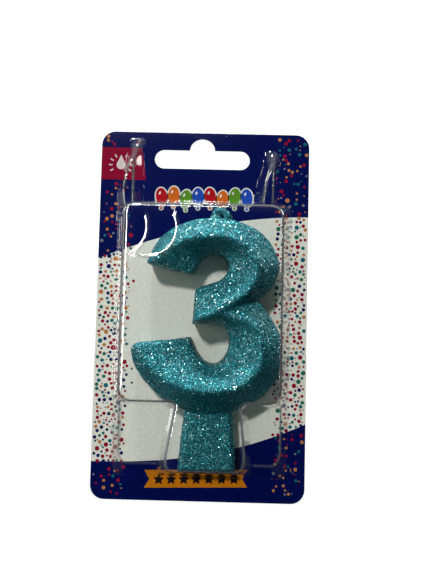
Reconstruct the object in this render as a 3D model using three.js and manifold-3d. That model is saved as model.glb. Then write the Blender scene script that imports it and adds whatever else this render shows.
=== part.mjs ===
// A number birthday candle, numeral three, in its hanging retail pack:
// printed backing card, clear thermoformed blister, wax numeral with a cake foot, folded wick.
//
// Millimetres. +Z up, +X to the right and the printed face towards -Y, as the pack hangs on a shop peg.
// Every outline below is drawn about the centre of the card. The last lines move the whole pack, so that
// the origin is where the peg bears, at the top of the hang slot.

import * as THREE from "three";
import { mergeVertices } from "three/addons/utils/BufferGeometryUtils.js";
import Module from "manifold-3d";

const wasm = await Module();
wasm.setup();

// Driving dimensions

const card = { width: 70, height: 122, thickness: 0.5, cornerRadius: 4.5 };

const slot = {
  centreX: -1,
  width: 32,
  height: 6.4,
  centreZ: 51.9,
  humpWidth: 8.4,
  topZ: 59,
};

const film = 0.35;
const sealGap = 0.05;

const cavity = { left: -28.5, right: 29.5, top: 37.5, bottom: -30.5, depth: 17 };
const footChannel = { topLeft: -11, topRight: 17, bottomLeft: -15, bottomRight: 19.3, bottom: -53 };
const cavityInset = { side: 5.5, top: 4.4, shoulder: 5, channel: 3.9, floor: 7.5 };
const apron = { left: -28.5, right: 29.5, top: -20, bottom: -53.5, depth: 6, sideInset: 3.5, endInset: 6.5 };
const rib = { width: 8, depth: 4.5, bottom: 30, topInset: 5, sideInset: 2.6 };

const candleGap = 0.3;
const edgeHeight = 8;
const ridgeHeight = 15;
const tipHeight = 11;

const foot = {
  topLeft: -3.8, topRight: 10.4, bottomLeft: -6, bottomRight: 12, top: -24, bottom: -49, bevel: 1.4,
};

const wick = { radius: 0.95, depth: 6, holeRadius: 1.25, holeBottom: 22.5 };

// Geometry helpers

function solidFrom(geometry) {
  const plain = geometry.clone();
  plain.deleteAttribute("normal");
  plain.deleteAttribute("uv");
  const merged = mergeVertices(plain, 1e-4);
  const mesh = new wasm.Mesh({
    numProp: 3,
    vertProperties: new Float32Array(merged.attributes.position.array),
    triVerts: new Uint32Array(merged.index.array),
  });
  return new wasm.Manifold(mesh);
}

function geometryFrom(solid) {
  const mesh = solid.getMesh();
  const geometry = new THREE.BufferGeometry();
  geometry.setAttribute("position", new THREE.BufferAttribute(mesh.vertProperties, 3));
  geometry.setIndex(new THREE.BufferAttribute(mesh.triVerts, 1));
  geometry.computeVertexNormals();
  return geometry;
}

// Joins a list of rings, each with the same number of points, into one closed solid.
// The two end rings are filled by triangulating them in plan (x and z).
function loft(rings) {
  const size = rings[0].length;
  const positions = rings.flat().flatMap((p) => [p.x, p.y, p.z]);
  const faces = [];
  for (let ring = 0; ring + 1 < rings.length; ring++) {
    for (let i = 0; i < size; i++) {
      const next = (i + 1) % size;
      const a = ring * size + i;
      const b = ring * size + next;
      faces.push(a, b, b + size, a, b + size, a + size);
    }
  }
  return { positions, faces, size };
}

function closedGeometry({ positions, faces }) {
  const geometry = new THREE.BufferGeometry();
  geometry.setAttribute("position", new THREE.Float32BufferAttribute(positions, 3));
  geometry.setIndex(faces);
  return geometry;
}

// A corner list is [[x, z, radius], ...], anticlockwise as seen from the front.
function roundedOutline(corners, steps = 6) {
  return corners.flatMap(([x, z, radius], i) => {
    const corner = new THREE.Vector2(x, z);
    const before = corners.at(i - 1);
    const after = corners[(i + 1) % corners.length];
    const toBefore = new THREE.Vector2(before[0], before[1]).sub(corner).normalize();
    const toAfter = new THREE.Vector2(after[0], after[1]).sub(corner).normalize();
    const halfAngle = Math.acos(THREE.MathUtils.clamp(toBefore.dot(toAfter), -1, 1)) / 2;
    const reach = radius / Math.tan(halfAngle);
    const start = corner.clone().addScaledVector(toBefore, reach);
    const end = corner.clone().addScaledVector(toAfter, reach);
    const bisector = toBefore.clone().add(toAfter).normalize();
    const centre = corner.clone().addScaledVector(bisector, radius / Math.sin(halfAngle));
    const from = start.clone().sub(centre);
    const sweep = Math.atan2(from.cross(end.clone().sub(centre)), from.dot(end.clone().sub(centre)));
    return Array.from({ length: steps + 1 }, (_, k) =>
      from.clone().rotateAround(new THREE.Vector2(), (sweep * k) / steps).add(centre));
  });
}

// Moves every edge of a corner list inwards by the same distance.
function insetCorners(corners, distance) {
  return corners.map(([x, z, radius], i) => {
    const before = corners.at(i - 1);
    const after = corners[(i + 1) % corners.length];
    const inEdge = new THREE.Vector2(x - before[0], z - before[1]).normalize();
    const outEdge = new THREE.Vector2(after[0] - x, after[1] - z).normalize();
    const inNormal = new THREE.Vector2(-inEdge.y, inEdge.x);
    const outNormal = new THREE.Vector2(-outEdge.y, outEdge.x);
    const scale = distance / (1 + inNormal.dot(outNormal));
    const convex = inEdge.cross(outEdge) > 0;
    const newRadius = Math.max(0.3, radius + (convex ? -distance : distance));
    return [x + (inNormal.x + outNormal.x) * scale, z + (inNormal.y + outNormal.y) * scale, newRadius];
  });
}

function blendCorners(from, to, t) {
  return from.map((corner, i) => corner.map((value, k) => THREE.MathUtils.lerp(value, to[i][k], t)));
}

// A drawn tray: sloping walls from the base outline at the card to the front outline, then a rounded fold.
function tray({ base, front, depth, fold }, thickness = 0, backY = 0) {
  const foldSteps = 4;
  const levels = [{ y: backY, corners: base }];
  const wallTop = 1 - fold / depth;
  for (let k = 0; k <= foldSteps; k++) {
    const angle = (Math.PI / 2) * (k / foldSteps);
    const y = -depth * wallTop - fold * Math.sin(angle);
    const inward = fold * (1 - Math.cos(angle));
    levels.push({ y, corners: insetCorners(blendCorners(base, front, wallTop), inward) });
  }
  const rings = levels.map(({ y, corners }, k) =>
    roundedOutline(insetCorners(corners, thickness)).map(
      (p) => new THREE.Vector3(p.x, k === 0 ? y : y + thickness, p.y)));
  return solidFrom(capped(rings));
}

// Closes a loft whose end rings lie in planes of constant y.
function capped(rings) {
  const { positions, faces, size } = loft(rings);
  const last = (rings.length - 1) * size;
  const plan = (ring) => ring.map((p) => new THREE.Vector2(p.x, p.z));
  for (const [a, b, c] of THREE.ShapeUtils.triangulateShape(plan(rings[0]), [])) {
    faces.push(a, c, b);
  }
  for (const [a, b, c] of THREE.ShapeUtils.triangulateShape(plan(rings.at(-1)), [])) {
    faces.push(last + a, last + b, last + c);
  }
  return closedGeometry({ positions, faces });
}

function rectangle({ left, right, bottom, top }, radius) {
  return [[left, bottom, radius], [right, bottom, radius], [right, top, radius], [left, top, radius]];
}

// A flat sheet of the card's outline with the hang slot cut through it, from y = back to y = front.
function slottedSheet(back, front) {
  const half = { x: card.width / 2, z: card.height / 2 };
  const edges = { left: -half.x, right: half.x, bottom: -half.z, top: half.z };
  const shape = new THREE.Shape(roundedOutline(rectangle(edges, card.cornerRadius)));
  shape.holes.push(hangSlot());
  const sheet = new THREE.ExtrudeGeometry(shape, { depth: back - front, bevelEnabled: false });
  sheet.rotateX(Math.PI / 2);
  sheet.translate(0, back, 0);
  return sheet;
}

// The usual sombrero slot: a round-ended slot with a round hump for the peg above its middle.
function hangSlot() {
  const end = slot.height / 2;
  const hump = slot.humpWidth / 2;
  const shoulder = slot.centreZ + end;
  const path = new THREE.Path();
  path.absarc(slot.centreX - slot.width / 2 + end, slot.centreZ, end, Math.PI / 2, Math.PI * 1.5, false);
  path.absarc(slot.centreX + slot.width / 2 - end, slot.centreZ, end, -Math.PI / 2, Math.PI / 2, false);
  path.lineTo(slot.centreX + hump, shoulder);
  path.absellipse(slot.centreX, shoulder, hump, slot.topZ - shoulder, 0, Math.PI, false, 0);
  path.closePath();
  return new THREE.Path(path.getPoints(10));
}

// Blister: one sheet of clear film, sealed over the whole card, drawn forward into the candle's cavity

function blister() {
  const corner = 5.5;
  const fillet = 2.6;
  const mainCorners = (part) => {
    const left = cavity.left + cavityInset.side * part;
    const right = cavity.right - cavityInset.side * part;
    const top = cavity.top - cavityInset.top * part;
    const shoulder = cavity.bottom + cavityInset.shoulder * part;
    const floor = footChannel.bottom + cavityInset.floor * part;
    const channel = cavityInset.channel * part;
    return [
      [footChannel.bottomLeft + channel, floor, 4.5],
      [footChannel.bottomRight - channel, floor, 4.5],
      [footChannel.topRight - channel, shoulder, fillet],
      [right, shoulder, corner],
      [right, top, corner],
      [left, top, corner],
      [left, shoulder, corner],
      [footChannel.topLeft + channel, shoulder, fillet],
    ];
  };
  const apronFront = {
    left: apron.left + apron.sideInset,
    right: apron.right - apron.sideInset,
    bottom: apron.bottom + apron.endInset,
    top: apron.top,
  };
  const trays = [
    { base: mainCorners(0), front: mainCorners(1), depth: cavity.depth, fold: 1.6 },
    { base: rectangle(apron, 6), front: rectangle(apronFront, 3), depth: apron.depth, fold: 1 },
    ribTray(-24.5, 55.5),
    ribTray(22.3, 53.5),
  ];
  let shell = solidFrom(slottedSheet(-sealGap, -sealGap - film));
  for (const form of trays) {
    shell = shell.add(tray(form, 0, -sealGap));
  }
  for (const form of trays) {
    shell = shell.subtract(tray(form, film, 1));
  }
  return geometryFrom(shell);
}

// A stiffening rib that runs from beside the hang slot down into the top of the main cavity.
function ribTray(centreX, top) {
  const base = { left: centreX - rib.width / 2, right: centreX + rib.width / 2, bottom: rib.bottom, top };
  const crest = {
    left: base.left + rib.sideInset,
    right: base.right - rib.sideInset,
    bottom: rib.bottom,
    top: top - rib.topInset,
  };
  return { base: rectangle(base, 2.6), front: rectangle(crest, 1), depth: rib.depth, fold: 0.8 };
}

// Candle: two roofed bowls that meet at the middle arm, a flat back and a tapered foot for the cake

// Each station is the outer edge, the ridge, its height, and the inner edge: [x, z], [x, z], height, [x, z].
const upperBowl = [
  [[-17.3, 15.9], [-16.5, 15.7], tipHeight, [-3, 13]],
  [[-13.4, 23.6], [-11.5, 19.8], 12.5, [-2, 14.4]],
  [[-7, 28.2], [-5.3, 22.6], 14, [-0.6, 17.6]],
  [[2, 30.5], [2.9, 23.9], ridgeHeight, [3.1, 19.7]],
  [[12.2, 29.3], [10.4, 22.8], ridgeHeight, [6.7, 19]],
  [[20.6, 24.1], [15.4, 19], ridgeHeight, [8.5, 16.6]],
  [[24.3, 15.5], [17.1, 13.9], ridgeHeight, [8.5, 13.6]],
  [[22, 8.6], [15.6, 9], ridgeHeight, [6.3, 11]],
  [[17.7, 4.6], [12, 5.3], ridgeHeight, [3.5, 9.8]],
  [[11, -0.8], [6.7, 1.9], 14.5, [0.9, 8.9]],
  [[4, -1.7], [2.6, -0.7], 14, [-0.4, 8.4]],
  [[-2.6, -3.1], [-2.1, -2.6], 13, [-1.6, 7.8]],
];

const lowerBowl = [
  [[1, 4.6], [1, -1], 12, [0.3, -3]],
  [[5.4, 5.9], [4.3, -0.7], 13, [3.7, -2.1]],
  [[11.7, 6.1], [9.7, -0.3], 14, [6.7, -2.6]],
  [[17.7, 4.6], [14.5, -1.2], ridgeHeight, [8.7, -4.7]],
  [[22.3, -1], [17.6, -4.8], ridgeHeight, [9.5, -7.7]],
  [[25.7, -8.4], [18.9, -10.4], ridgeHeight, [9.3, -10.6]],
  [[25, -17], [17.7, -16.2], ridgeHeight, [8.3, -13.2]],
  [[20.7, -24.2], [13.7, -20], ridgeHeight, [6.6, -15.2]],
  [[12.3, -29.2], [8.2, -22], ridgeHeight, [4.4, -16.1]],
  [[2, -30.6], [1, -22.5], ridgeHeight, [1.8, -15.3]],
  [[-8, -28.1], [-7.5, -20.8], 14, [-0.4, -13.2]],
  [[-16.6, -21.3], [-14.4, -16.9], 12.5, [-2, -10.9]],
  [[-20.3, -15.8], [-18, -13], 11.8, [-2.7, -9.3]],
  [[-21.5, -10.9], [-19.3, -8.8], tipHeight, [-3.2, -7.5]],
];

// A roofed stroke: flat back, upright edges, and two bevels that rise from the edges to one sharp ridge.
function stroke(stations, steps) {
  const curve = (point) => new THREE.CatmullRomCurve3(stations.map(point), false, "centripetal");
  const outer = curve(([[x, z]]) => new THREE.Vector3(x, -edgeHeight, z));
  const ridge = curve(([, [x, z], height]) => new THREE.Vector3(x, -height, z));
  const inner = curve(([, , , [x, z]]) => new THREE.Vector3(x, -edgeHeight, z));
  const back = (point) => point.clone().setY(0);
  const rings = [];
  for (let i = 0; i <= steps; i++) {
    const t = i / steps;
    const [o, r, n] = [outer, ridge, inner].map((line) => line.getPoint(t));
    rings.push([back(o), o, r, n, back(n)]);
  }
  const { positions, faces, size } = loft(rings);
  const last = (rings.length - 1) * size;
  for (let i = 1; i + 1 < size; i++) {
    faces.push(0, i + 1, i);
    faces.push(last, last + i, last + i + 1);
  }
  return solidFrom(closedGeometry({ positions, faces }));
}

function footSolid() {
  const { topLeft, topRight, bottomLeft, bottomRight, top, bottom, bevel } = foot;
  const outline = (inset) => [
    new THREE.Vector2(bottomLeft + inset, bottom + inset),
    new THREE.Vector2(bottomRight - inset, bottom + inset),
    new THREE.Vector2(topRight - inset, top),
    new THREE.Vector2(topLeft + inset, top),
  ];
  const levels = [[0, 0], [-edgeHeight + bevel, 0], [-edgeHeight, bevel]];
  const rings = levels.map(([y, inset]) => outline(inset).map((p) => new THREE.Vector3(p.x, y, p.y)));
  return solidFrom(capped(rings));
}

function wickHole() {
  const top = 34;
  const hole = new THREE.CylinderGeometry(wick.holeRadius, wick.holeRadius, top - wick.holeBottom, 16);
  hole.rotateX(Math.PI / 2);
  hole.translate(wickPath[0].x, -wick.depth, (top + wick.holeBottom) / 2);
  return solidFrom(hole);
}

function numeral() {
  const solid = stroke(upperBowl, 66)
    .add(stroke(lowerBowl, 72))
    .add(footSolid())
    .subtract(wickHole());
  return geometryFrom(solid).translate(0, -candleGap, 0);
}

// Wick: rises out of the wax and is folded back on itself in a short loop

const wickPath = [
  [4, 23], [4, 27], [3.9, 30.5], [3.8, 32], [4.6, 33.3], [6.1, 33.5], [7.5, 32.7], [8.6, 31.5],
].map(([x, z]) => new THREE.Vector3(x, -wick.depth, z));

function wickTube() {
  const round = new THREE.Shape().absarc(0, 0, wick.radius, 0, Math.PI * 2, false);
  const path = new THREE.CatmullRomCurve3(wickPath, false, "centripetal");
  return new THREE.ExtrudeGeometry(new THREE.Shape(round.getPoints(5)), { steps: 36, extrudePath: path })
    .translate(0, -candleGap, 0);
}

// Assembly

const pack = new THREE.Group();

function addPiece(name, geometry, color, roughness, metalness = 0) {
  const mesh = new THREE.Mesh(geometry, new THREE.MeshStandardMaterial({ color, roughness, metalness }));
  mesh.name = name;
  pack.add(mesh);
}

addPiece("backing_card", slottedSheet(card.thickness, 0), 0x142a7a, 0.45);
addPiece("blister", blister(), 0xdfeaf2, 0.08);
addPiece("numeral_candle", numeral(), 0x1f9aa8, 0.4, 0.3);
addPiece("wick", wickTube(), 0x2ba3ae, 0.7);

pack.position.set(-slot.centreX, 0, -slot.topZ);

export default pack;
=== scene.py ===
"""The looks of a number birthday candle in its hanging blister pack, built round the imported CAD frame.

Metres, in the frame of the part: +Z up, the printed face towards -Y, the origin at the top of the hang
slot. Sizes on the pack are given in millimetres about the card's centre: x to the right, z up, and
height forward from the printed face.
"""

import math
import random

import bmesh
import bpy
import numpy as np
from mathutils import Matrix, Vector, geometry, noise


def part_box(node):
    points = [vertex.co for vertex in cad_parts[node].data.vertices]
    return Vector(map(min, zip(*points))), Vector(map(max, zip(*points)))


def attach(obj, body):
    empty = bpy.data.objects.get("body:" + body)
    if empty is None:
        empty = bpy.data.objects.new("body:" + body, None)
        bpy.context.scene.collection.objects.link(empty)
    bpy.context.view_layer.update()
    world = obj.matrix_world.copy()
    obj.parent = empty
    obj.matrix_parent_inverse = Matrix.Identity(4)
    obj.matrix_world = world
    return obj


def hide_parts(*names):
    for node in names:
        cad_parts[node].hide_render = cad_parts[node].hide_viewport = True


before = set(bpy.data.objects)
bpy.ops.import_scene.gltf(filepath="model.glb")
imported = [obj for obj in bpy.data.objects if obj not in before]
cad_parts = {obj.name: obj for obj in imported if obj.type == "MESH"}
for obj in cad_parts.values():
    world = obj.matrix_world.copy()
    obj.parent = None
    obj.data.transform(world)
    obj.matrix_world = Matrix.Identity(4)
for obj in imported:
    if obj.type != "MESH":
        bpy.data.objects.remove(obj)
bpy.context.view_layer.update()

MM = 0.001
scene = bpy.context.scene
card_low, card_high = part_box("backing_card")
card_centre = (card_low + card_high) / 2
face_y = card_low.y
half_width = (card_high.x - card_low.x) / 2 / MM
half_height = (card_high.z - card_low.z) / 2 / MM

# Two groups for light linking: some strip lights reach only the film, and others only print and candle.
clear_things = bpy.data.collections.new("clear_things")
solid_things = bpy.data.collections.new("solid_things")


def place(x, z, height=0.0):
    """The point x, z mm from the card's centre and height mm in front of its printed face."""
    return Vector((card_centre.x + x * MM, face_y - height * MM, card_centre.z + z * MM))


# Camera, floor and light ------------------------------------------------------------------------------

CAMERA_PLACE = (5.3, 2.9, 143.2)
CAMERA_TURN = (92.54, -1.37, 0.34)


def add_camera():
    """A close camera nearly square to the card, turned by degrees about X, Y and Z."""
    data = bpy.data.cameras.new("camera")
    data.sensor_width = 36
    data.lens = 27.05
    data.clip_start = 0.005
    camera = bpy.data.objects.new("camera", data)
    camera.location = place(*CAMERA_PLACE)
    camera.rotation_euler = [math.radians(a) for a in CAMERA_TURN]
    scene.collection.objects.link(camera)
    scene.camera = camera


def area_light(name, location, target, size, power, gloss_only=False, receivers=None):
    """A rectangular light aimed at a target, which can be kept to gloss and to a group of receivers."""
    data = bpy.data.lights.new(name, "AREA")
    data.shape = "RECTANGLE"
    data.size, data.size_y = size
    data.energy = power
    light = bpy.data.objects.new(name, data)
    light.visible_diffuse = not gloss_only
    if receivers:
        light.light_linking.receiver_collection = receivers
    light.location = location
    light.rotation_euler = (Vector(target) - Vector(location)).to_track_quat("-Z", "Y").to_euler()
    scene.collection.objects.link(light)


def add_studio():
    """A small bright key from the upper left, a light overhead, thin strips for glossy lines and a sweep.

    Each light has its offset from the card's centre and its size in metres, and its power in watts. The
    world only fills shadows, so it is kept out of glossy reflections.
    """
    scene.view_settings.view_transform = "Standard"
    world = bpy.data.worlds.new("studio")
    scene.world = world
    world.use_nodes = True
    world.cycles_visibility.glossy = False
    background = world.node_tree.nodes["Background"]
    background.inputs["Color"].default_value = (0.82, 1, 0.97, 1)
    background.inputs["Strength"].default_value = 0.12

    middle = place(0, 0)
    lights = {
        "key": ((-0.225, -0.73, 0.47), (0.08, 0.08), 4.8),
        "overhead": ((-0.05, -0.1, 1.1), (0.14, 0.14), 13),
        "left_fill": ((-0.6, -0.35, 0.1), (0.3, 0.3), 0.7),
        "back_left": ((-0.9, 0.5, 0.6), (0.4, 0.4), 5),
        "back_right": ((0.9, 0.5, 0.6), (0.4, 0.4), 5),
    }
    for name, (offset, size, power) in lights.items():
        area_light(name, middle + Vector(offset), middle, size, power)
    strips = {
        "left_strip": ((-0.6, -0.25, 0.1), (0.08, 0.7), 1.5, solid_things),
        "right_strip": ((0.6, -0.3, 0.15), (0.035, 0.7), 0.22, solid_things),
        "film_left": ((-0.3, -0.6, 0.1), (0.02, 0.6), 1.8, clear_things),
        "film_right": ((0.42, -0.55, 0.1), (0.02, 0.5), 0.9, clear_things),
        "film_top": ((-0.12, -0.6, 0.36), (0.3, 0.016), 0.5, clear_things),
    }
    for name, (offset, size, power, receivers) in strips.items():
        area_light(name, middle + Vector(offset), middle, size, power, True, receivers)
    add_sweep(radius=2.4, height=3.0, drop=0.12, bend=0.8)


def add_sweep(radius, height, drop, bend):
    """A round pale floor, a little below the hanging pack, curving up into a wall on every side."""
    floor_z = card_low.z - drop
    steps, sides = 12, 48
    profile = []
    for i in range(steps + 1):
        angle = math.pi / 2 * i / steps
        profile.append((radius - bend + bend * math.sin(angle), floor_z + bend * (1 - math.cos(angle))))
    profile.append((radius, floor_z + height))
    verts = []
    for reach, z in profile:
        for k in range(sides):
            turn = math.tau * k / sides
            verts.append((reach * math.sin(turn), reach * math.cos(turn), z))
    faces = [tuple(range(sides))]
    for start in range(0, len(verts) - sides, sides):
        for k in range(sides):
            a, b = start + k, start + (k + 1) % sides
            faces.append((a, b, b + sides, a + sides))
    mesh = bpy.data.meshes.new("studio_floor")
    mesh.from_pydata(verts, [], faces)
    smooth_shaded(mesh)
    floor = bpy.data.objects.new("studio_floor", mesh)
    floor.visible_glossy = False
    floor.visible_diffuse = False
    floor.visible_shadow = False
    scene.collection.objects.link(floor)
    floor.data.materials.append(pale_floor())


# Materials --------------------------------------------------------------------------------------------

CARD_ROUGHNESS = 0.6
CARD_SPECULAR = 0.025


class Nodes:
    """A material under construction: its node tree, its shader and short ways to add to them."""

    def __init__(self, name, colour=(0.8, 0.8, 0.8), roughness=0.5, metallic=0.0):
        self.material = bpy.data.materials.new(name)
        self.material.use_nodes = True
        self.tree = self.material.node_tree
        self.shader = self.tree.nodes["Principled BSDF"]
        self.output = self.tree.nodes["Material Output"]
        self.set(self.shader, {"Base Color": (*colour, 1), "Roughness": roughness, "Metallic": metallic})

    def set(self, node, values):
        for key, value in values.items():
            if isinstance(value, bpy.types.NodeSocket):
                self.tree.links.new(value, node.inputs[key])
            else:
                node.inputs[key].default_value = value

    def add(self, kind, values=None, **settings):
        node = self.tree.nodes.new("ShaderNode" + kind)
        for key, value in settings.items():
            setattr(node, key, value)
        self.set(node, values or {})
        return node

    def position(self):
        return self.add("TexCoord").outputs["Object"]

    def noise(self, scale, detail=2.0, roughness=0.5):
        values = {"Vector": self.position(), "Scale": scale, "Detail": detail, "Roughness": roughness}
        return self.add("TexNoise", values).outputs["Fac"]

    def ramp(self, factor, stops):
        node = self.add("ValToRGB", {"Fac": factor})
        elements = node.color_ramp.elements
        while len(elements) < len(stops):
            elements.new(0.5)
        for element, (place_on_ramp, colour) in zip(elements, stops):
            element.position = place_on_ramp
            element.color = (*colour, 1)
        return node.outputs["Color"]

    def math(self, operation, a, b=0.0):
        node = self.add("Math", operation=operation)
        self.set(node, {0: a, 1: b})
        return node.outputs[0]

    def remap(self, value, low, high):
        return self.add("MapRange", {"Value": value, "To Min": low, "To Max": high}).outputs["Result"]

    def bump(self, height, strength, distance):
        values = {"Height": height, "Strength": strength, "Distance": distance}
        return self.add("Bump", values).outputs["Normal"]


def pale_floor():
    """An even white floor and wall, which glow so that they need no light of their own."""
    n = Nodes("pale_floor", roughness=0.85)
    white = n.ramp(n.noise(3), [(0.3, (0.97, 0.97, 0.97)), (0.7, (1.0, 1.0, 1.0))])
    n.set(n.shader, {"Base Color": white, "Emission Color": white, "Emission Strength": 1.05})
    return n.material


def shade(colour, factor):
    return tuple(min(1, c * factor) for c in colour)


def printed_ink(name, colour):
    """Litho ink on coated board, under the sealed film: a faint mottle and little gloss of its own."""
    n = Nodes(name, colour, CARD_ROUGHNESS)
    n.set(n.shader, {"Specular IOR Level": CARD_SPECULAR})
    mottle = n.noise(900, 4)
    n.set(n.shader, {
        "Base Color": n.ramp(mottle, [(0.25, shade(colour, 0.9)), (0.75, shade(colour, 1.08))]),
        "Roughness": n.remap(n.noise(300, 3), CARD_ROUGHNESS - 0.06, CARD_ROUGHNESS + 0.08),
        "Normal": n.bump(n.noise(2500, 3), 0.15, 0.00002),
    })
    return n.material


def board_material():
    """Navy printed face, bare grey-white board on the back and the cut edges."""
    n = Nodes("printed_board", roughness=CARD_ROUGHNESS)
    n.set(n.shader, {"Specular IOR Level": CARD_SPECULAR})
    normal = n.add("TexCoord").outputs["Normal"]
    facing = n.add("SeparateXYZ", {"Vector": normal}).outputs["Y"]
    is_front = n.math("LESS_THAN", facing, -0.5)
    navy = n.ramp(n.noise(700, 4), [(0.3, (0.0006, 0.004, 0.072)), (0.7, (0.0009, 0.006, 0.09))])
    fibres = n.ramp(n.noise(1400, 6, 0.7), [(0.3, (0.5, 0.49, 0.46)), (0.65, (0.72, 0.71, 0.68))])
    mix = n.add("Mix", {"Factor": is_front}, data_type="RGBA")
    n.tree.links.new(fibres, mix.inputs["A"])
    n.tree.links.new(navy, mix.inputs["B"])
    n.set(n.shader, {
        "Base Color": mix.outputs["Result"],
        "Roughness": n.remap(is_front, 0.75, CARD_ROUGHNESS),
        "Normal": n.bump(n.noise(3000, 5), 0.2, 0.00003),
    })
    return n.material


def clear_film():
    """Clear formed film: see-through and glossy, darker edge on, hazed along its folds.

    Its flat seal has a fine knurl of crossed ridges. Only its outer side reflects, and more so at a slant.
    """
    knurl_pitch = 0.0011
    reflected_head_on = 0.075
    full_haze = 0.8
    n = Nodes("clear_film")
    n.tree.nodes.remove(n.shader)
    facing = n.add("LayerWeight", {"Blend": 0.5}).outputs["Facing"]
    edge_on = n.math("POWER", facing, 4)
    tint = n.ramp(edge_on, [(0.0, (0.975, 0.985, 0.985)), (1.0, (0.7, 0.71, 0.71))])
    see_through = n.add("BsdfTransparent", {"Color": tint})
    across, _, up = n.add("SeparateXYZ", {"Vector": n.position()}).outputs
    turns = math.tau / knurl_pitch
    rising = n.math("SINE", n.math("MULTIPLY", n.math("ADD", across, up), turns))
    falling = n.math("SINE", n.math("MULTIPLY", n.math("SUBTRACT", across, up), turns))
    flange = n.add("Attribute", attribute_name="flange").outputs["Fac"]
    knurl = n.math("MULTIPLY", n.math("MULTIPLY", rising, falling), flange)
    waves = n.bump(n.noise(40, 2), 0.3, 0.0003)
    surface = n.add("Bump", {"Height": knurl, "Strength": 0.1, "Distance": 0.00004, "Normal": waves})
    shine = {"Color": (1, 1, 1, 1), "Roughness": 0.045, "Normal": surface.outputs["Normal"]}
    gloss = n.add("BsdfGlossy", shine)
    schlick = n.remap(n.math("POWER", facing, 5), reflected_head_on, 1)
    outside = n.math("SUBTRACT", 1, n.add("NewGeometry").outputs["Backfacing"])
    reflected = n.math("MULTIPLY", schlick, outside)
    haze = n.add("BsdfDiffuse", {"Color": (0.17, 0.175, 0.19, 1)})
    fold = n.add("Attribute", attribute_name="fold").outputs["Fac"]
    stretched = n.math("MULTIPLY", fold, full_haze)
    body = n.add("MixShader", {0: stretched, 1: see_through.outputs[0], 2: haze.outputs[0]})
    mix = n.add("MixShader", {0: reflected, 1: body.outputs[0], 2: gloss.outputs[0]})
    n.set(n.output, {"Surface": mix.outputs[0]})
    return n.material


def glitter_wax(name="glitter_wax"):
    """Teal wax packed with fine glitter: every cell is one flake with its own tilt and brightness."""
    cells_per_metre, tilt_scale = 5000, 1.2
    n = Nodes(name, roughness=0.36, metallic=0.35)
    cells = n.add("TexVoronoi", {"Vector": n.position(), "Scale": cells_per_metre})
    random_colour = cells.outputs["Color"]
    tilt = n.add("VectorMath", {0: random_colour, 1: (0.5, 0.5, 0.5)}, operation="SUBTRACT")
    lean = n.add("VectorMath", {0: tilt.outputs[0], "Scale": tilt_scale}, operation="SCALE")
    normal = n.add("NewGeometry").outputs["Normal"]
    facet = n.add("VectorMath", {0: normal, 1: lean.outputs[0]}, operation="ADD")
    facet_normal = n.add("VectorMath", {0: facet.outputs[0]}, operation="NORMALIZE")
    brightness = n.add("SeparateColor", {"Color": random_colour}).outputs["Green"]
    teal = [
        (0.0, (0.001, 0.075, 0.11)),
        (0.6, (0.003, 0.17, 0.22)),
        (0.9, (0.03, 0.36, 0.4)),
        (1.0, (0.3, 0.75, 0.78)),
    ]
    n.set(n.shader, {"Base Color": n.ramp(brightness, teal), "Normal": facet_normal.outputs[0]})
    return n.material


def flake_foil():
    """Cut polyester glitter: metallised film, dark teal to nearly white, and smoother where it is pale."""
    n = Nodes("flake_foil", roughness=0.25, metallic=1.0)
    tone = n.add("Attribute", attribute_name="tone").outputs["Fac"]
    shades = [(0.0, (0.002, 0.19, 0.23)), (0.5, (0.1, 0.58, 0.58)), (1.0, (0.85, 1.0, 0.95))]
    n.set(n.shader, {"Base Color": n.ramp(tone, shades), "Roughness": n.remap(tone, 0.46, 0.28)})
    return n.material


# Pieces ------------------------------------------------------------------------------------------------

def add_piece(name, mesh, material, body, replaced=()):
    """Makes a mesh a piece that rides on a body, in place of the replaced CAD nodes."""
    mesh.name = name
    piece = bpy.data.objects.new(name, mesh)
    scene.collection.objects.link(piece)
    lit_as = clear_things if body == "clear_shell" else solid_things
    lit_as.objects.link(piece)
    mesh.materials.clear()
    mesh.materials.append(material)
    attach(piece, body)
    if replaced:
        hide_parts(*replaced)
    return piece


def baked(mesh, modifiers):
    """The mesh after a list of modifiers, each (type, settings)."""
    carrier = bpy.data.objects.new("carrier", mesh)
    scene.collection.objects.link(carrier)
    for kind, settings in modifiers:
        modifier = carrier.modifiers.new(kind.lower(), kind)
        for key, value in settings.items():
            setattr(modifier, key, value)
    depsgraph = bpy.context.evaluated_depsgraph_get()
    result = bpy.data.meshes.new_from_object(carrier.evaluated_get(depsgraph))
    bpy.data.objects.remove(carrier)
    return result


def smooth_shaded(mesh):
    mesh.polygons.foreach_set("use_smooth", [True] * len(mesh.polygons))
    return mesh


def coordinates(mesh):
    values = np.empty(len(mesh.vertices) * 3)
    mesh.vertices.foreach_get("co", values)
    return values.reshape(-1, 3)


# Candle ------------------------------------------------------------------------------------------------

WICK_DEPTH = 6
WICK_PATH = [(4, 23), (4, 27), (3.9, 30.5), (3.9, 31.8), (4.7, 33), (6.1, 33.1), (7.3, 32.2), (8, 30.8)]
FLASH_NIBS = [(24.9, 14.2), (-20.6, -15.6), (-18.6, -18.4)]


def soften_crown(mesh, above, fade, rounds):
    """Rounds off the ridges: points higher above the card than a height drift towards their neighbours."""
    points = coordinates(mesh)
    ends = np.empty(len(mesh.edges) * 2, dtype=int)
    mesh.edges.foreach_get("vertices", ends)
    a, b = ends.reshape(-1, 2).T
    neighbours = np.bincount(ends, minlength=len(points))[:, None]
    height = (face_y - points[:, 1]) / MM
    full_drift = 0.6
    drift = full_drift * np.clip((height - above) / fade, 0, 1)[:, None]
    for _ in range(rounds):
        total = np.zeros_like(points)
        np.add.at(total, a, points[b])
        np.add.at(total, b, points[a])
        points += drift * (total / neighbours - points)
    mesh.vertices.foreach_set("co", points.ravel())
    mesh.update()


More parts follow.
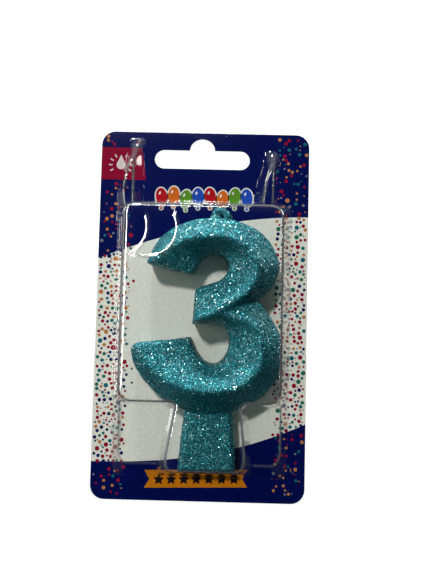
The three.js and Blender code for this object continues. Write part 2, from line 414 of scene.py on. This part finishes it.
def vertex_normals(mesh):
    values = np.empty(len(mesh.vertices) * 3)
    mesh.vertices.foreach_get("normal", values)
    return values.reshape(-1, 3)


def uneven(mesh, coarse, fine, fuller=0.0):
    """Makes the surface uneven, as dipped wax is, and fuller away from its flat back. Sizes in mm."""
    coarse_lumps, fine_lumps = 350, 1300
    flat_back = 1.5 * MM
    points = coordinates(mesh)
    normals = vertex_normals(mesh)
    swell = np.array([
        noise.noise(Vector(p) * coarse_lumps) * coarse + noise.noise(Vector(p) * fine_lumps) * fine
        for p in points
    ])
    swell += fuller * np.clip((face_y - points[:, 1]) / flat_back, 0, 1)
    points += normals * (swell * MM)[:, None]
    mesh.vertices.foreach_set("co", points.ravel())
    mesh.update()


def raise_flash(mesh):
    """Small nibs of mould flash on the numeral's outer edge."""
    nib_height, nib_reach, seam_height = 0.5, 0.7, 3
    points = coordinates(mesh)
    normals = vertex_normals(mesh)
    for x, z in FLASH_NIBS:
        nib = np.array(place(x, z, seam_height))
        near = np.exp(-(np.linalg.norm(points - nib, axis=1) / (nib_reach * MM)) ** 2)
        points += normals * (nib_height * MM * near)[:, None]
    mesh.vertices.foreach_set("co", points.ravel())
    mesh.update()


def cast_numeral():
    """The cast numeral: its CAD solid with softened edges, unevenness and a few nibs of flash."""
    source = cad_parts["numeral_candle"].data.copy()
    mesh = baked(source, [
        ("REMESH", {"mode": "VOXEL", "voxel_size": 0.4 * MM}),
        ("SMOOTH", {"factor": 0.5, "iterations": 8}),
    ])
    soften_crown(mesh, above=9, fade=2, rounds=45)
    uneven(mesh, coarse=0.12, fine=0.07, fuller=0.13)
    raise_flash(mesh)
    return smooth_shaded(mesh)


def spoke(path, i, angle):
    """The direction square to a path at its point i, at an angle round it."""
    ahead = path[min(i + 1, len(path) - 1)] - path[max(i - 1, 0)]
    across = ahead.cross(Vector((0, 1, 0))).normalized()
    out = across.cross(ahead).normalized()
    return across * math.cos(angle) + out * math.sin(angle)


def tube(bm, path, radius, sides=10):
    """A closed round tube along a list of points."""
    angles = [math.tau * k / sides for k in range(sides)]
    rings = []
    for i, point in enumerate(path):
        rings.append([bm.verts.new(point + spoke(path, i, angle) * radius) for angle in angles])
    for a, b in zip(rings, rings[1:]):
        for k in range(sides):
            bm.faces.new((a[k], a[(k + 1) % sides], b[(k + 1) % sides], b[k]))
    bm.faces.new(rings[0])
    bm.faces.new(reversed(rings[-1]))


def smooth_path(points, steps):
    """A Catmull-Rom curve through a list of points, in so many steps between each two."""
    ends = [points[0]] + points + [points[-1]]
    path = []
    for a, b, c, d in zip(ends, ends[1:], ends[2:], ends[3:]):
        for i in range(steps):
            t = i / steps
            bend = 2 * a - 5 * b + 4 * c - d + t * (3 * b - a - 3 * c + d)
            path.append(b + 0.5 * t * ((c - a) + t * bend))
    path.append(points[-1])
    return path


def waxed_wick():
    """Three braided strands bent over at the top, run together under a coat of wax."""
    strands, turns = 3, 5.5
    strand_radius, plait_radius = 0.9 * MM, 0.53 * MM
    wax_foot, wax_radius = place(4, 30.2, WICK_DEPTH), 2.1 * MM
    core = smooth_path([place(x, z, WICK_DEPTH) for x, z in WICK_PATH], 8)
    bm = bmesh.new()
    for strand in range(strands):
        path = []
        for i, point in enumerate(core):
            angle = math.tau * (i / len(core) * turns + strand / strands)
            path.append(point + spoke(core, i, angle) * plait_radius)
        tube(bm, path, strand_radius)
    bmesh.ops.create_icosphere(bm, subdivisions=3, radius=wax_radius, matrix=Matrix.Translation(wax_foot))
    mesh = bpy.data.meshes.new("strands")
    bm.to_mesh(mesh)
    bm.free()
    mesh = baked(mesh, [
        ("REMESH", {"mode": "VOXEL", "voxel_size": 0.13 * MM}),
        ("SMOOTH", {"factor": 0.5, "iterations": 2}),
    ])
    uneven(mesh, coarse=0.2, fine=0.12)
    return smooth_shaded(mesh)


def glitter_flakes(surface, count, size, seed):
    """Hexagonal flakes strewn over a surface, each lying nearly flat on it with its own small tilt.

    The size is a flake's usual radius in mm. The tone runs from 0 to 1, and more flakes are dark than pale.
    """
    lift, tilt, sides = 0.05, 0.28, 6
    smallest, largest, darkening = 0.6, 1.25, 1.6
    surface.calc_loop_triangles()
    triangles = np.empty(len(surface.loop_triangles) * 3, dtype=int)
    surface.loop_triangles.foreach_get("vertices", triangles)
    corners = coordinates(surface)[triangles.reshape(-1, 3)]
    cross = np.cross(corners[:, 1] - corners[:, 0], corners[:, 2] - corners[:, 0])
    areas = np.linalg.norm(cross, axis=1)
    rng = np.random.default_rng(seed)
    chosen = rng.choice(len(corners), count, p=areas / areas.sum())
    u, v = rng.random((2, count))
    over = u + v > 1
    u[over], v[over] = 1 - u[over], 1 - v[over]
    a, b, c = corners[chosen].transpose(1, 0, 2)
    centres = a + (b - a) * u[:, None] + (c - a) * v[:, None]
    normals = cross[chosen] / areas[chosen][:, None]
    centres += normals * lift * MM
    facing = normals + rng.normal(0, tilt, (count, 3))
    facing /= np.linalg.norm(facing, axis=1)[:, None]
    along = np.cross(facing, rng.normal(size=(count, 3)))
    along /= np.linalg.norm(along, axis=1)[:, None]
    across = np.cross(facing, along)
    radius = size * MM * rng.uniform(smallest, largest, count)
    angles = np.arange(sides) * math.tau / sides
    ring = np.cos(angles)[None, :, None] * along[:, None] + np.sin(angles)[None, :, None] * across[:, None]
    points = centres[:, None] + ring * radius[:, None, None]
    mesh = bpy.data.meshes.new("flakes")
    faces = np.arange(count * sides).reshape(-1, sides)
    mesh.from_pydata(points.reshape(-1, 3), [], faces.tolist())
    tone = mesh.attributes.new("tone", "FLOAT", "FACE")
    tone.data.foreach_set("value", rng.random(count) ** darkening)
    return mesh


def build_candle():
    foil = flake_foil()
    numeral = cast_numeral()
    add_piece("numeral_wax", numeral, glitter_wax(), "candle", ["numeral_candle"])
    flakes = glitter_flakes(numeral, count=49000, size=0.135, seed=3)
    add_piece("numeral_glitter", flakes, foil, "candle")
    wick = waxed_wick()
    add_piece("braided_wick", wick, glitter_wax("wick_wax"), "candle", ["wick"])
    flakes = glitter_flakes(wick, count=1300, size=0.13, seed=5)
    add_piece("wick_glitter", flakes, foil, "candle")


# Blister -----------------------------------------------------------------------------------------------

BAY_LEFT, BAY_RIGHT = -28.5, 29.5
CAVITY_DEPTH, APRON_DEPTH, RIB_DEPTH = 17, 6, 4.5
RIBS = ((-24.75, 58.1), (20.95, 55.5))
FILM_THICKNESS = 0.3
SEAL_GAP = 0.1


def smooth_min(a, b, reach):
    """The smaller of two values, blended where they are within reach of each other."""
    blend = np.clip(0.5 + 0.5 * (b - a) / reach, 0, 1)
    return b + (a - b) * blend - reach * blend * (1 - blend)


def smooth_max(a, b, reach):
    return -smooth_min(-a, -b, reach)


def wall(distances, corner):
    """How far up its sloping walls a drawn form is: 0 at its foot and 1 at its rim, rounded at corners."""
    rise = distances[0]
    for distance in distances[1:]:
        rise = smooth_min(rise, distance, corner)
    return rise


def main_cavity(x, z):
    """How far up the walls of the main cavity a point is."""
    top, foot = 37.5, -30.5
    side_run, top_run, foot_run, corner = 5.2, 4.4, 5, 0.9
    walls = [(x - BAY_LEFT) / side_run, (BAY_RIGHT - x) / side_run]
    walls += [(top - z) / top_run, (z - foot) / foot_run]
    return wall(walls, corner)


def foot_channel(x, z):
    """How far up the walls of the channel round the candle's foot a point is: it narrows upwards."""
    top, foot, taper_height = -15, -53, 22.5
    left_end, left_taper, right_end, right_taper = -15, 4, 19.3, 2.3
    side_run, foot_run, corner = 3.9, 7.5, 0.8
    left = left_end + left_taper * (z - foot) / taper_height
    right = right_end - right_taper * (z - foot) / taper_height
    walls = [(x - left) / side_run, (right - x) / side_run, (z - foot) / foot_run, (top - z) / side_run]
    return wall(walls, corner)


def apron(x, z):
    """How far up the walls of the shallow apron a point is, on both sides of the foot channel."""
    top, foot = -20, -53.5
    side_run, top_run, foot_run, corner = 3.5, 3, 6.5, 0.9
    walls = [(x - BAY_LEFT) / side_run, (BAY_RIGHT - x) / side_run]
    walls += [(z - foot) / foot_run, (top - z) / top_run]
    return wall(walls, corner)


def rib(x, z, centre, top):
    """How far up the walls of a stiffening rib a point is: its left wall leans in towards its top."""
    reach, foot = 4.25, 30
    lean, lean_height, lean_start, lean_curve = 3.3, 14, 19, 1.7
    side_run, end_run, corner = 2.6, 5, 0.7
    left = centre - reach + lean * np.clip((z - top + lean_start) / lean_height, 0, 1) ** lean_curve
    walls = [(x - left) / side_run, (centre + reach - x) / side_run]
    walls += [(top - z) / end_run, (z - foot) / end_run]
    return wall(walls, corner)


def film_height(x, z):
    """Height of the formed film in front of the card at x, z: main cavity, foot channel, apron and ribs.

    The wide face over the candle is slightly crowned: it drops a little towards its rim.
    """
    rim_fold, rib_fold = 0.07, 0.12
    rim_drop, rim_width = 0.36, 0.22
    channel_join, apron_join, rib_join, flange_join = 0.4, 0.5, 0.6, 0.35
    front = smooth_max(main_cavity(x, z), foot_channel(x, z), channel_join)
    crown = rim_drop * np.exp(-np.maximum(front - 1, 0) / rim_width)
    height = CAVITY_DEPTH * smooth_min(front, 1, rim_fold) - crown * np.clip(front, 0, 1)
    height = smooth_max(height, APRON_DEPTH * smooth_min(apron(x, z), 1, rim_fold), apron_join)
    for centre, top in RIBS:
        height = smooth_max(height, RIB_DEPTH * smooth_min(rib(x, z, centre, top), 1, rib_fold), rib_join)
    height = height + press_crease(x, z, (-25.8, 25.8), radius=10.2, start=-62, end=26, ridge=0.15)
    height = height + press_crease(x, z, (-15.6, 25.4), radius=8.8, start=-118, end=34, ridge=0.19)
    return smooth_max(height, np.zeros_like(height), flange_join)


def press_crease(x, z, centre, radius, start, end, ridge):
    """A soft crease where the film was pressed in: a low ridge along an arc, angles in degrees.

    It is sharper towards the arc's lower end, where the film was pressed hardest.
    """
    fade_angle, width, least_cosine = 8, 0.85, 0.72
    across, up = x - centre[0], z - centre[1]
    angle = np.degrees(np.arctan2(up, across))
    fade = np.clip((angle - start) / fade_angle, 0, 1) * np.clip((end - angle) / fade_angle, 0, 1)
    sharper = 1 / np.clip(np.cos(np.radians(angle)), least_cosine, 1)
    return ridge * sharper * fade * np.exp(-((np.hypot(across, up) - radius) / width) ** 2)


def film_fold(x, z, reach=0.25):
    """How sharply the film is folded forward at a point: 0 where it is flat and 1 along a sharp rim."""
    sharp = 0.9
    nearby = film_height(x + reach, z) + film_height(x - reach, z) + film_height(x, z + reach)
    nearby += film_height(x, z - reach)
    return np.clip((4 * film_height(x, z) - nearby) / reach / sharp, 0, 1)


def arc(centre, radius, start, end, steps):
    """Points on an arc in the card's plane, angles in degrees."""
    angles = [math.radians(start + (end - start) * i / steps) for i in range(steps + 1)]
    radii = radius if isinstance(radius, tuple) else (radius, radius)
    return [(centre[0] + radii[0] * math.cos(a), centre[1] + radii[1] * math.sin(a)) for a in angles]


def card_outline(radius=4.5):
    x, z = half_width - radius, half_height - radius
    outline = []
    for centre, start in (((x, z), 0), ((-x, z), 90), ((-x, -z), 180), ((x, -z), 270)):
        outline += arc(centre, radius, start, start + 90, 10)
    return outline


def slot_outline():
    """The hang slot: 32 mm wide over its round ends, with the peg's hump above its middle."""
    middle, level, end, reach = -1, 51.9, 3.2, 12.8
    hump, steps = (4.2, 3.9), 14
    outline = arc((middle - reach, level), end, 90, 270, steps)
    outline += arc((middle + reach, level), end, -90, 90, steps)
    return outline + arc((middle, level + end), hump, 0, 180, steps)


def film_grid(pitch, coarse):
    """Points over the card: close together where the film bends, every few steps where it is flat."""
    columns = int(2 * half_width / pitch)
    rows = int(2 * half_height / pitch)
    xs = np.linspace(-half_width, half_width, columns + 1)[1:-1]
    zs = np.linspace(-half_height, half_height, rows + 1)[1:-1]
    x, z = np.meshgrid(xs, zs)
    height = film_height(x, z)
    bend = np.zeros_like(height)
    bend[1:-1, :] += abs(height[2:, :] + height[:-2, :] - 2 * height[1:-1, :])
    bend[:, 1:-1] += abs(height[:, 2:] + height[:, :-2] - 2 * height[:, 1:-1])
    column, row = np.meshgrid(np.arange(len(xs)), np.arange(len(zs)))
    least_bend = 0.002
    keep = (bend > least_bend) | ((column % coarse == 0) & (row % coarse == 0))
    return list(zip(x[keep], z[keep]))


def film_sheet(pitch=0.34, coarse=4):
    """One sheet over the whole card, with the slot cut out and every point raised to the film's height."""
    rings = [card_outline(), slot_outline()]
    points = [Vector(p) for ring in rings for p in ring]
    edges = []
    start = 0
    for ring in rings:
        edges += [(start + i, start + (i + 1) % len(ring)) for i in range(len(ring))]
        start += len(ring)
    points += [Vector(p) for p in film_grid(pitch, coarse)]
    verts, _, faces, *_ = geometry.delaunay_2d_cdt(points, edges, [], 0, 1e-6)
    flat = np.array([(v.x, v.y) for v in verts])
    centres = flat[np.array([list(f) for f in faces])].mean(axis=1)
    keep = inside(centres, rings[0]) & ~inside(centres, rings[1])
    heights = film_height(flat[:, 0], flat[:, 1])
    lift = SEAL_GAP + FILM_THICKNESS
    flange_edge = 0.2
    mesh = bpy.data.meshes.new("film")
    raised = [place(x, z, h + lift) for (x, z), h in zip(flat, heights)]
    mesh.from_pydata(raised, [], [faces[i] for i in np.flatnonzero(keep)])
    flange = mesh.attributes.new("flange", "FLOAT", "POINT")
    flange.data.foreach_set("value", np.clip(1 - heights / flange_edge, 0, 1))
    fold = mesh.attributes.new("fold", "FLOAT", "POINT")
    fold.data.foreach_set("value", film_fold(flat[:, 0], flat[:, 1]))
    return mesh


def inside(points, outline):
    """Which of the points lie inside a closed outline."""
    result = np.zeros(len(points), bool)
    for (x0, z0), (x1, z1) in zip(outline, outline[1:] + outline[:1]):
        if z0 == z1:
            continue
        crosses = (points[:, 1] > z0) != (points[:, 1] > z1)
        at = x0 + (points[:, 1] - z0) / (z1 - z0) * (x1 - x0)
        result ^= crosses & (points[:, 0] < at)
    return result


def exact_normals(mesh):
    """Shades the film by the slope of its form, so highlights run along the folds without breaking up."""
    points = coordinates(mesh)
    x = (points[:, 0] - card_centre.x) / MM
    z = (points[:, 2] - card_centre.z) / MM
    step = 0.05
    slope_x = (film_height(x + step, z) - film_height(x - step, z)) / (2 * step)
    slope_z = (film_height(x, z + step) - film_height(x, z - step)) / (2 * step)
    normals = np.stack([-slope_x, -np.ones_like(x), -slope_z], axis=1)
    normals /= np.linalg.norm(normals, axis=1)[:, None]
    agreement = (normals * vertex_normals(mesh)).sum(axis=1)
    normals[agreement < 0] *= -1
    mesh.normals_split_custom_set_from_vertices(normals.tolist())


def build_blister():
    mesh = baked(film_sheet(), [("SOLIDIFY", {"thickness": FILM_THICKNESS * MM, "offset": -1.0})])
    smooth_shaded(mesh)
    exact_normals(mesh)
    film = add_piece("formed_film", mesh, clear_film(), "clear_shell", ["blister"])
    film.visible_shadow = False


# Card --------------------------------------------------------------------------------------------------

BOARD_THICKNESS = (card_high.y - card_low.y) / MM
INK_GAP = 0.002
INK_STEP = 0.006
TAG_TOP, TAG_FOOT = 55.6, 44.6


def flat_print(name, outlines, ink, layer, on_back=False):
    """Areas of ink: each outline becomes a plate much thinner than paper on the card's front or back.

    A higher layer lies over the lower ones.
    """
    low, high = INK_GAP, INK_STEP * layer
    if on_back:
        low, high = -BOARD_THICKNESS - low, -BOARD_THICKNESS - high
    bm = bmesh.new()
    for outline in outlines:
        turn = sum(x0 * z1 - x1 * z0 for (x0, z0), (x1, z1) in zip(outline, outline[1:] + outline[:1]))
        if (turn < 0) != on_back:
            outline = outline[::-1]
        top = [bm.verts.new(place(x, z, high)) for x, z in outline]
        bottom = [bm.verts.new(place(x, z, low)) for x, z in outline]
        bm.faces.new(top)
        bm.faces.new(bottom[::-1])
        for i in range(len(outline)):
            j = (i + 1) % len(outline)
            bm.faces.new((top[j], top[i], bottom[i], bottom[j]))
    mesh = bpy.data.meshes.new(name)
    bm.to_mesh(mesh)
    bm.free()
    return add_piece(name, mesh, ink, "card")


def ellipse(centre, radii, steps=24, tilt=0.0):
    """A closed ellipse, turned by tilt degrees."""
    c, s = math.cos(math.radians(tilt)), math.sin(math.radians(tilt))
    outline = arc((0, 0), radii, 0, 360 - 360 / steps, steps - 1)
    return [(centre[0] + x * c - z * s, centre[1] + x * s + z * c) for x, z in outline]


def star(centre, radius, points=5, waist=0.5):
    outline = []
    for i in range(2 * points):
        angle = math.pi / 2 + math.pi * i / points
        reach = radius if i % 2 == 0 else radius * waist
        outline.append((centre[0] + reach * math.cos(angle), centre[1] + reach * math.sin(angle)))
    return outline


def bar(start, end, width):
    """A straight stroke from one point to another."""
    run = Vector(end) - Vector(start)
    side = Vector((-run.y, run.x)).normalized() * width / 2
    a, b = Vector(start), Vector(end)
    return [tuple(p) for p in (a - side, b - side, b + side, a + side)]


def rounded_box(left, right, bottom, top, radius):
    outline = []
    corners = ((right, top, 0), (left, top, 90), (left, bottom, 180), (right, bottom, 270))
    for x, z, start in corners:
        x += -radius if x == right else radius
        z += -radius if z == top else radius
        outline += arc((x, z), radius, start, start + 90, 8)
    return outline


def upper_edge(x):
    """The sweeping lower edge of the navy header."""
    left_end, rise, curve = 17.8, 15.3, 1.9
    t = (x + half_width) / (2 * half_width)
    return left_end + rise * (1 - (1 - t) ** curve)


def lower_edge(x):
    """The sweeping upper edge of the navy footer."""
    left_end, rise, curve = -48.9, 13.6, 2.4
    t = (x + half_width) / (2 * half_width)
    return left_end + rise * t ** curve


def build_card():
    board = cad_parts["backing_card"]
    for slot_of_board in board.material_slots:
        slot_of_board.material = board_material()
    steps = 60
    xs = [(-1 + 2 * i / steps) * half_width for i in range(steps + 1)]
    band = [(x, lower_edge(x)) for x in xs] + [(x, upper_edge(x)) for x in reversed(xs)]
    flat_print("print_cream_band", [band], printed_ink("cream_ink", (0.83, 0.81, 0.72)), 1)
    build_tag()
    build_balloons()
    build_banner()
    build_confetti()
    build_back_print()


def build_tag():
    """The crimson corner tag, with a small flame and its rays in place of words."""
    tag = [(-half_width, TAG_TOP), (-half_width, TAG_FOOT), (-19.8, TAG_FOOT), (-21.4, TAG_TOP - 0.1)]
    flat_print("print_corner_tag", [tag], printed_ink("crimson_ink", (0.27, 0.002, 0.03)), 2)
    centre = (-28.4, 49.6)
    x, z = centre
    flame = arc(centre, 1.5, 150, 390, 14) + [(x + 0.75, z + 1.9), (x, z + 3.5), (x - 0.75, z + 1.9)]
    ray_start, ray_end, ray_width, straight_up = 2.9, 4.1, 0.45, 90
    marks = [flame]
    for degrees in range(-30, 211, 30):
        a = math.radians(degrees)
        ray = Vector((math.cos(a), math.sin(a)))
        if degrees != straight_up:
            marks.append(bar(Vector(centre) + ray * ray_start, Vector(centre) + ray * ray_end, ray_width))
    flat_print("print_tag_flame", marks, printed_ink("tag_white_ink", (0.72, 0.6, 0.6)), 3)


def build_balloons():
    """A row of plain balloons with pale outlines under the hang slot."""
    inks = {
        "red": (0.42, 0.006, 0.012),
        "orange": (0.6, 0.13, 0.015),
        "green": (0.1, 0.26, 0.02),
        "blue": (0.015, 0.07, 0.42),
    }
    first_x, pitch, row_z, knot_drop = -14.4, 4.1, 39.1, 3.9
    radii, rim, knot_rim = (1.9, 3.0), 0.42, (0.85, 0.8)
    colours = list(inks)
    balloons = {name: [] for name in inks}
    rims, shines = [], []
    for i in range(8):
        x = first_x + pitch * i
        z = row_z + 0.6 * math.sin(i * 2.2)
        tilt = 9 * math.cos(i * 1.7)
        knot_z = z - knot_drop
        rims.append(ellipse((x, z), (radii[0] + rim, radii[1] + rim), 28, tilt))
        rims.append(ellipse((x, knot_z), knot_rim, 16))
        knot = [(x, knot_z + 0.9), (x - 0.5, knot_z - 0.45), (x + 0.5, knot_z - 0.45)]
        balloons[colours[i % len(colours)]] += [ellipse((x, z), radii, 28, tilt), knot]
        shines.append(ellipse((x - 0.6, z + 1.2), (0.3, 0.6), 12, -20))
    for i, outline in enumerate(rims):
        flat_print(f"print_balloon_rim_{i + 1}", [outline], printed_ink("rim_ink", (0.74, 0.72, 0.68)), 2)
    for name, outlines in balloons.items():
        flat_print("print_balloons_" + name, outlines, printed_ink(name + "_balloon_ink", inks[name]), 3)
    flat_print("print_balloon_shines", shines, printed_ink("shine_ink", (0.8, 0.78, 0.75)), 4)


def build_banner():
    """The orange swallow-tailed ribbon at the foot of the card, with a row of plain stars."""
    left, right, foot = -17.4, 16.3, -57.0
    height, rise, notch = 5.7, 0.9, 1.7
    first_star, star_pitch, star_radius = -12.6, 4.1, 1.9

    def on_ribbon(x, share):
        return (x, foot + rise * (x - left) / (right - left) + share * height)

    ribbon = [on_ribbon(left, 0), on_ribbon(right, 0), on_ribbon(right - notch, 0.5)]
    ribbon += [on_ribbon(right, 1), on_ribbon(left, 1), on_ribbon(left + notch, 0.5)]
    flat_print("print_ribbon", [ribbon], printed_ink("ribbon_ink", (0.62, 0.2, 0.004)), 2)
    stars = [star(on_ribbon(first_star + star_pitch * i, 0.46), star_radius) for i in range(7)]
    flat_print("print_ribbon_stars", stars, printed_ink("ribbon_dark_ink", (0.012, 0.008, 0.012)), 3)


def build_back_print():
    """The back of the card: pale blank panels in thin grey frames, with no words."""
    grey = printed_ink("back_grey_ink", (0.3, 0.31, 0.33))
    pale = printed_ink("back_pale_ink", (0.84, 0.84, 0.82))
    panels = [(-27, 27, 8, 40), (-27, 27, -24, 4), (-27, -2, -50, -28), (2, 27, -50, -28)]
    border, corner = 0.35, 2
    for i, (left, right, bottom, top) in enumerate(panels):
        outer = rounded_box(left - border, right + border, bottom - border, top + border, corner + border)
        flat_print(f"back_frame_{i + 1}", [outer], grey, 1, on_back=True)
        inner = rounded_box(left, right, bottom, top, corner)
        flat_print(f"back_panel_{i + 1}", [inner], pale, 2, on_back=True)


def build_confetti():
    """Round confetti dots, crowded along the two sides and thinning out towards the middle.

    The large dots are placed first, and a dot that would touch another, or the corner tag, is left out.
    """
    inks = {
        "crimson": (0.29, 0.006, 0.03),
        "orange": (0.5, 0.2, 0.07),
        "navy": (0.012, 0.012, 0.1),
        "teal": (0.01, 0.13, 0.17),
        "green": (0.02, 0.15, 0.1),
        "grey": (0.16, 0.17, 0.22),
    }
    on_cream = ["crimson", "crimson", "orange", "navy", "navy", "teal", "green", "crimson"]
    on_navy = ["crimson", "orange", "orange", "teal", "grey", "crimson"]
    tries_by_radius = {0.76: 150, 0.6: 1100, 0.5: 2400, 0.38: 3500, 0.24: 2000}
    crowded, farthest, within_crowd, thinning = 10, 15, 0.985, 13
    side_margin, end_margin, gap = 0.85, 1.5, 0.2
    left_out_on_navy = 0.93
    rng = random.Random(8)
    dots = {name: [] for name in inks}
    placed = []
    for radius, tries in tries_by_radius.items():
        for _ in range(tries):
            side = rng.choice((-1, 1))
            near = rng.random() < within_crowd
            inward = rng.uniform(0, crowded) if near else rng.uniform(crowded, farthest)
            x = side * (half_width - side_margin - inward)
            z = rng.uniform(-half_height + end_margin, half_height - end_margin)
            cream = lower_edge(x) < z < upper_edge(x)
            if rng.random() < (inward / thinning if cream else left_out_on_navy):
                continue
            if x < -18 and TAG_FOOT - 1.1 < z < TAG_TOP + 0.9:
                continue
            if any((x - a) ** 2 + (z - b) ** 2 < (radius + r + gap) ** 2 for a, b, r in placed):
                continue
            placed.append((x, z, radius))
            dots[rng.choice(on_cream if cream else on_navy)].append(ellipse((x, z), (radius, radius), 20))
    for name, outlines in dots.items():
        flat_print("print_confetti_" + name, outlines, printed_ink(name + "_dot_ink", inks[name]), 3)


add_camera()
add_studio()
build_card()
build_candle()
build_blister()
